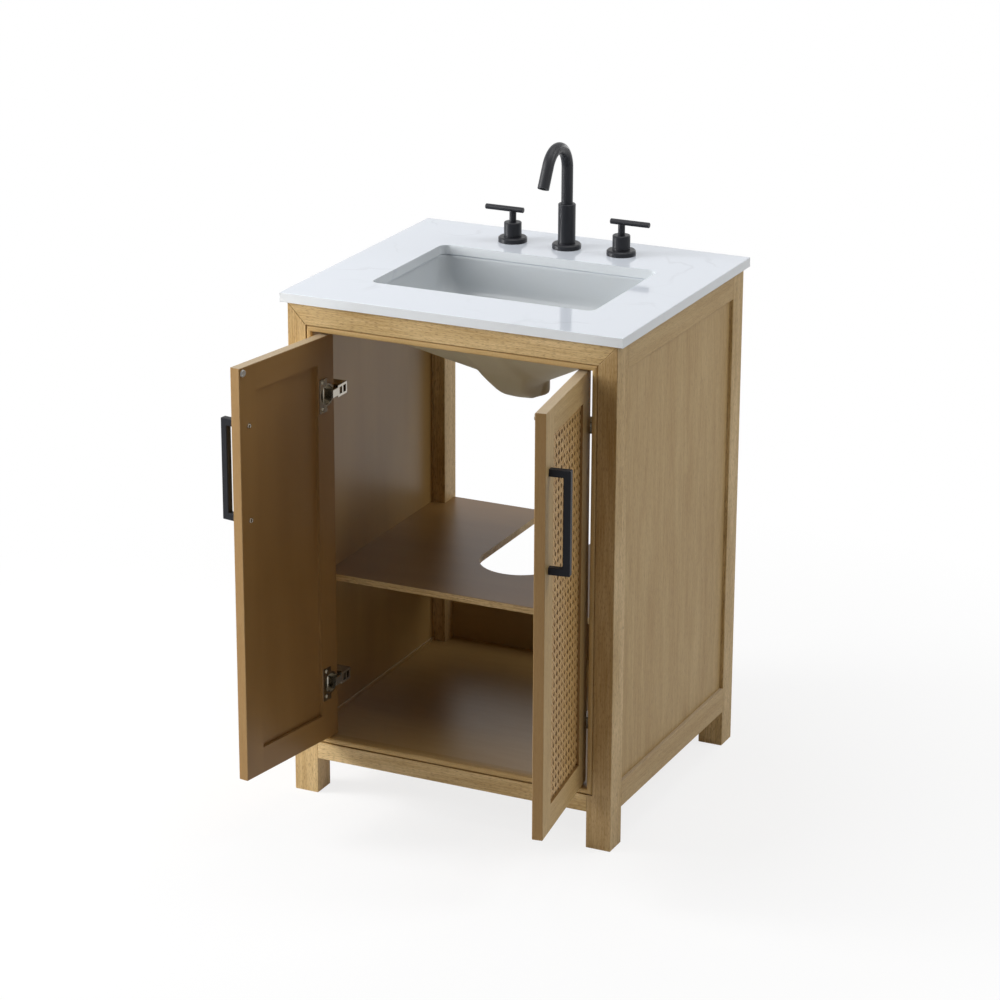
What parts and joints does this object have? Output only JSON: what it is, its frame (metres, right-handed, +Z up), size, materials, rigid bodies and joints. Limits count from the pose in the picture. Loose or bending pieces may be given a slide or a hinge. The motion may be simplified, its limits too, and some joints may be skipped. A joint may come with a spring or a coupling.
{
  "type": "bathroom vanity unit",
  "caption": "Freestanding oak bathroom vanity on square legs with inset cane doors, slotted shelf, stone top, undermount basin and widespread faucet.",
  "frame": {"origin": "on the floor, half-way across the width and half-way between the wall and the free edges of the open doors", "axes": "+X to the user's right, +Y to the wall, +Z up"},
  "size_m": [0.6142, 0.7576, 1.074],
  "materials": {
    "oak": "brushed oak with a clear satin coat",
    "oak_panel": "veneered board with a satin coat",
    "stone": "polished white quartz with faint grey veins",
    "ceramic": "white glaze",
    "cane": "woven cane webbing",
    "black_metal": "matte black",
    "black_plastic": "moulded black",
    "nickel": "nickel plated",
    "brass": "turned",
    "clear_plastic": "clear soft bumper"
  },
  "bodies": {
    "cabinet": {"back_left_leg": "oak", "back_panel": "oak_panel", "back_right_leg": "oak", "back_top_rail": "oak", "bottom_panel": "oak_panel", "corner_blocks": "oak_panel", "countertop": "stone", "faucet_nuts": "brass", "faucet_shanks": "brass", "front_bottom_rail": "oak", "front_left_leg": "oak", "front_right_leg": "oak", "front_top_rail": "oak", "hinge_arms": "nickel", "hinge_plate_screws": "nickel", "hinge_plates": "nickel", "left_escutcheon": "black_metal", "left_side_bottom_rail": "oak", "left_side_panel": "oak", "left_side_top_rail": "oak", "left_valve_body": "black_metal", "opening_beads": "oak", "right_escutcheon": "black_metal", "right_side_bottom_rail": "oak", "right_side_panel": "oak", "right_side_top_rail": "oak", "right_valve_body": "black_metal", "shelf": "oak_panel", "shelf_pins": "nickel", "sink_basin": "ceramic", "sink_clips": "nickel", "spout_collar": "black_metal", "spout_escutcheon": "black_metal"},
    "left_door": {"left_bumper": "clear_plastic", "left_door_bottom_rail": "oak", "left_door_cane": "cane", "left_door_hinge_stile": "oak", "left_door_panel": "oak_panel", "left_door_pull_stile": "oak", "left_door_screws": "nickel", "left_door_top_rail": "oak", "left_hinge_cups": "nickel", "left_hinge_pins": "nickel", "left_pull": "black_metal"},
    "right_door": {"right_bumper": "clear_plastic", "right_door_bottom_rail": "oak", "right_door_cane": "cane", "right_door_hinge_stile": "oak", "right_door_panel": "oak_panel", "right_door_pull_stile": "oak", "right_door_screws": "nickel", "right_door_top_rail": "oak", "right_hinge_cups": "nickel", "right_hinge_pins": "nickel", "right_pull": "black_metal"},
    "spout": {"spout_tube": "black_metal", "aerator": "black_plastic"},
    "left_lever": {"left_lever": "black_metal"},
    "right_lever": {"right_lever": "black_metal"}
  },
  "joints": [
    {"name": "left_door_hinge", "type": "hinge", "parent": "cabinet", "child": "left_door", "pos_m": [-0.2333, -0.1465, 0.4625], "axis": [0, 0, -1], "range_deg": [-99, 7]},
    {"name": "right_door_hinge", "type": "hinge", "parent": "cabinet", "child": "right_door", "pos_m": [0.2333, -0.1465, 0.4625], "axis": [0, 0, 1], "range_deg": [-98, 8]},
    {"name": "spout_swivel", "type": "hinge", "parent": "cabinet", "child": "spout", "pos_m": [0, 0.301, 0.94], "axis": [0, 0, 1], "range_deg": [-180, 180]},
    {"name": "left_lever_turn", "type": "hinge", "parent": "cabinet", "child": "left_lever", "pos_m": [-0.1016, 0.301, 0.93], "axis": [0, 0, 1], "range_deg": [0, 90]},
    {"name": "right_lever_turn", "type": "hinge", "parent": "cabinet", "child": "right_lever", "pos_m": [0.1016, 0.301, 0.93], "axis": [0, 0, -1], "range_deg": [0, 90]}
  ]
}
